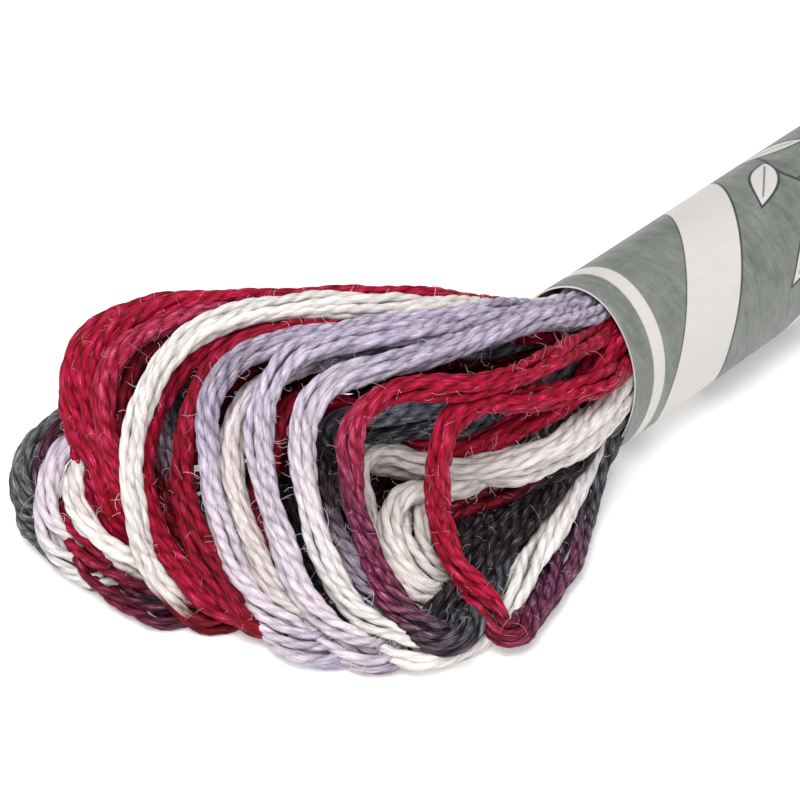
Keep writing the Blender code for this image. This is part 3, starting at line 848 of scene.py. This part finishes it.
def build_tail(mouths, floss):
    turns = tail_turns(mouths)
    lines = [resample(tail_line(across, layer, upper[:2], lower[:2]), 1.6)
             for (across, layer), upper, lower in turns]
    lines = spread_apart(lines, rounds=40, hold=0.98)
    hairs = []
    for group in range(TAIL_GROUPS):
        yarn = Yarn()
        for line, (_, upper, lower) in list(zip(lines, turns))[group::TAIL_GROUPS]:
            stops = ((0, upper[2]), (0.34, upper[2]), (0.66, lower[2]), (1, lower[2]))
            hairs += add_turn(yarn, line, stops, TAIL_STRAND, near_mouth, TAIL_HAIRS)
        yarn.piece("floss_tail_%d" % (group + 1), floss)
    return hairs


def build_legs(mouths, floss):
    """The legs inside the band, one lobed tube each, where only the ends could ever be seen."""
    yarn = Yarn()
    lobes = np.tile((0.54, 0.68), LEG_SIDES // 2)
    for y, z, dye in band_legs(mouths):
        start, end = rim_x(y, z) + FINE_DEPTH - LEGS_ON, BAND_LENGTH - FINE_DEPTH + LEGS_ON
        line = np.array([(x, y, z) for x in np.linspace(start, end, 9)])
        # Their dye is taken down to 0.8: painted shade inside the band.
        colour = np.repeat([DYES[dye] * 0.8], len(line), axis=0)
        along = line[:, 0]
        yarn.tube(line, moving_frames(line, (0, 0, 1)), lobes, colour, np.ones(LEG_SIDES), along / 20, along)
        yarn.cap(LEG_SIDES)
    yarn.piece("floss_band_legs", floss)


def build_fluff(hairs):
    """Loose fibres, three-sided and curling away from the turns, most of them short."""
    yarn = Yarn()
    for hair in hairs:
        length = RANDOM.uniform(*HAIR_LENGTHS)
        if RANDOM.uniform() < LONG_HAIRS:
            length += RANDOM.exponential(LONG_EXTRA)
        curl = RANDOM.uniform(*HAIR_CURLS) * RANDOM.choice((-1, 1))
        lean = RANDOM.uniform(-1.3, 1.3)
        side = np.cross(hair.out, hair.along)
        across = hair.along * math.cos(lean) + side * math.sin(lean)
        run = np.linspace(0.0, length, HAIR_RINGS)
        heading = RANDOM.uniform(0.1, 1.3) + curl * run
        steps = (np.cos(heading)[:, None] * across + np.sin(heading)[:, None] * hair.out
                 + side * RANDOM.uniform(-0.5, 0.5)) * (length / (HAIR_RINGS - 1))
        middle = hair.start + np.vstack([np.zeros(3), np.cumsum(steps[:-1], axis=0)])
        middle[:, 2] = np.maximum(middle[:, 2], 0.04)
        taper = np.linspace(*HAIR_RADII, HAIR_RINGS)[:, None] * np.ones(3)
        dye = np.repeat([np.clip(hair.colour + HAIR_PALER, 0, 1)], HAIR_RINGS, axis=0)
        yarn.tube(middle, moving_frames(middle, side), taper, dye, np.ones(3), np.zeros(HAIR_RINGS), run)
    yarn.piece("floss_fluff", fluff_material())


# ---- the band
PAPER_WALL = 0.11
LAP_START = -75.0
LAP = 24.0
BAND_COLUMNS = 129
RIPPLE_ROOM = 0.12


def build_band():
    """The paper sleeve, rolled with a lap along its far lower side."""
    turns = np.linspace(0.0, 360.0 + LAP, BAND_COLUMNS)
    shares = np.concatenate([
        np.linspace(0, 0.03, 4, endpoint=False), np.linspace(0.03, 0.97, 40), np.linspace(0.98, 1, 3)])
    angle = np.radians(LAP_START + turns)
    # The lap climbs over the sheet's first edge, which comes round again at 360 degrees.
    lift = PAPER_WALL * 1.15 * np.clip((turns - 338.0) / 20.0, 0, 1)
    points = []
    for depth in (0.0, PAPER_WALL):
        for share in shares:
            # The paper waves a little round the band, more so by its rims.
            ripple = 0.05 * np.sin(3 * angle + 1.0 + 4 * share) + 0.035 * np.sin(5 * angle + 9 * share)
            ripple *= 0.4 + 1.2 * abs(share - 0.5)
            radius = BAND_RADIUS - RIPPLE_ROOM - depth + ripple + lift
            y = radius * np.cos(angle)
            z = np.maximum(BAND_AXIS_Z + radius * np.sin(angle), 0.01 + depth)
            rim = rim_x(y, z)
            points.append(np.stack([rim + share * (BAND_LENGTH - rim), y, z], axis=1))
    rows, columns = len(shares), len(turns)
    # Faces of the outside, the inside, both rims and both edges of the sheet, in that order.
    inner = rows * columns
    corners = [i * columns + j for i in range(rows - 1) for j in range(columns - 1)]
    faces = [(a, a + 1, a + columns + 1, a + columns) for a in corners]
    faces += [(inner + a, inner + a + columns, inner + a + columns + 1, inner + a + 1) for a in corners]
    for a in range(columns - 1):
        b = inner - columns + a
        faces += [(a, inner + a, inner + a + 1, a + 1), (b, b + 1, inner + b + 1, inner + b)]
    for a in range(0, inner - columns, columns):
        b = a + columns - 1
        faces += [(a, a + columns, inner + a + columns, inner + a),
                  (b, inner + b, inner + b + columns, b + columns)]
    item = add_mesh("band_sleeve", np.vstack(points), faces, print_material(), core_material())
    mesh = item.data
    for face in mesh.polygons[len(corners):]:
        face.material_index = 1
    for face in mesh.polygons[2 * len(corners):]:
        face.use_smooth = False
    sleeve = mesh.uv_layers.new(name="sleeve")
    # The print's angle is counted from the far side, as the lap's start is.
    uv = np.array([(share * BAND_LENGTH / PRINT_LENGTH, (turn + LAP_START) / PRINT_DEGREES)
                   for share in shares for turn in turns] * 2)
    loops = np.zeros(len(mesh.loops), int)
    mesh.loops.foreach_get("vertex_index", loops)
    sleeve.data.foreach_set("uv", uv[loops].ravel())
    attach(item, "root")
    return item


# ---- the stage
FLOOR_HALF = 3.0
# The world's heights and light: a pale wall round the table, and a dimmer room above it.
WALL_TOP, ROOM_START, WALL_LIGHT, ROOM_LIGHT = 0.04, 0.2, 1.0, 0.38


def build_floor():
    mesh = bpy.data.meshes.new("floor")
    low, high = -FLOOR_HALF, FLOOR_HALF
    corners = [(low, low, 0), (high, low, 0), (high, high, 0), (low, high, 0)]
    mesh.from_pydata(corners, [], [(0, 1, 2, 3)])
    mesh.materials.append(floor_material())
    add_object("floor", mesh)


def add_light(name, target, way, size, power):
    """A round lamp over the table, off to one side of the target, that points at it."""
    light = bpy.data.lights.new(name, "AREA")
    light.shape, light.size, light.energy = "DISK", size, power
    item = add_object(name, light)
    item.location = (target[0] + way[0], target[1] + way[1], way[2])
    item.rotation_euler = (Vector(target) - item.location).to_track_quat("-Z", "Y").to_euler()
    item.visible_camera = False


def add_sky(way, spread, power):
    """A wide soft sun, for the light of a whole ceiling."""
    sky = bpy.data.lights.new("sky", "SUN")
    sky.energy, sky.angle = power, math.radians(spread)
    add_object("sky", sky).rotation_euler = Vector(way).to_track_quat("Z", "Y").to_euler()


def build_camera():
    camera = bpy.data.cameras.new("camera")
    camera.sensor_width, camera.lens = 36.0, CAMERA_LENS
    camera.clip_start, camera.clip_end = 0.01, 20.0
    item = add_object("camera", camera)
    right = Vector(CAMERA_RIGHT).normalized()
    ahead = Vector(LOOKING).normalized()
    turn = Matrix((right, right.cross(ahead), -ahead)).transposed().to_4x4()
    item.matrix_world = Matrix.Translation(Vector(ORIGIN + CAMERA_PLACE * MM)) @ turn
    bpy.context.scene.camera = item


def build_light():
    scene = bpy.context.scene
    scene.view_settings.view_transform = "Standard"
    world = bpy.data.worlds.new("world")
    world.use_nodes = True
    nodes, links = world.node_tree.nodes, world.node_tree.links
    back = nodes["Background"]
    back.inputs["Color"].default_value = (1.0, 1.0, 1.0, 1.0)
    split = nodes.new("ShaderNodeSeparateXYZ")
    links.new(nodes.new("ShaderNodeTexCoord").outputs["Generated"], split.inputs[0])
    ramp = nodes.new("ShaderNodeMapRange")
    for index, value in enumerate((WALL_TOP, ROOM_START, WALL_LIGHT, ROOM_LIGHT), 1):
        ramp.inputs[index].default_value = value
    links.new(split.outputs["Z"], ramp.inputs[0])
    links.new(ramp.outputs[0], back.inputs["Strength"])
    scene.world = world
    middle = tuple(ORIGIN + np.array((-12.0, 4.0, 6.0)) * MM)
    add_light("key", middle, way=(-0.16, -0.04, 0.52), size=0.36, power=1.75)
    add_sky(way=(-0.16, -0.04, 0.5), spread=60.0, power=1.15)
    add_light("fill", middle, way=(-0.30, -0.50, 0.32), size=0.40, power=1.2)


floss = floss_material()
mouths = mouth_places()
build_camera()
hairs = build_fan(mouths, floss) + build_tail(mouths, floss)
build_legs(mouths, floss)
build_fluff(hairs)
sleeve = build_band()
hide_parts("floss_hank")
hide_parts("paper_band")
build_floor()
build_light()
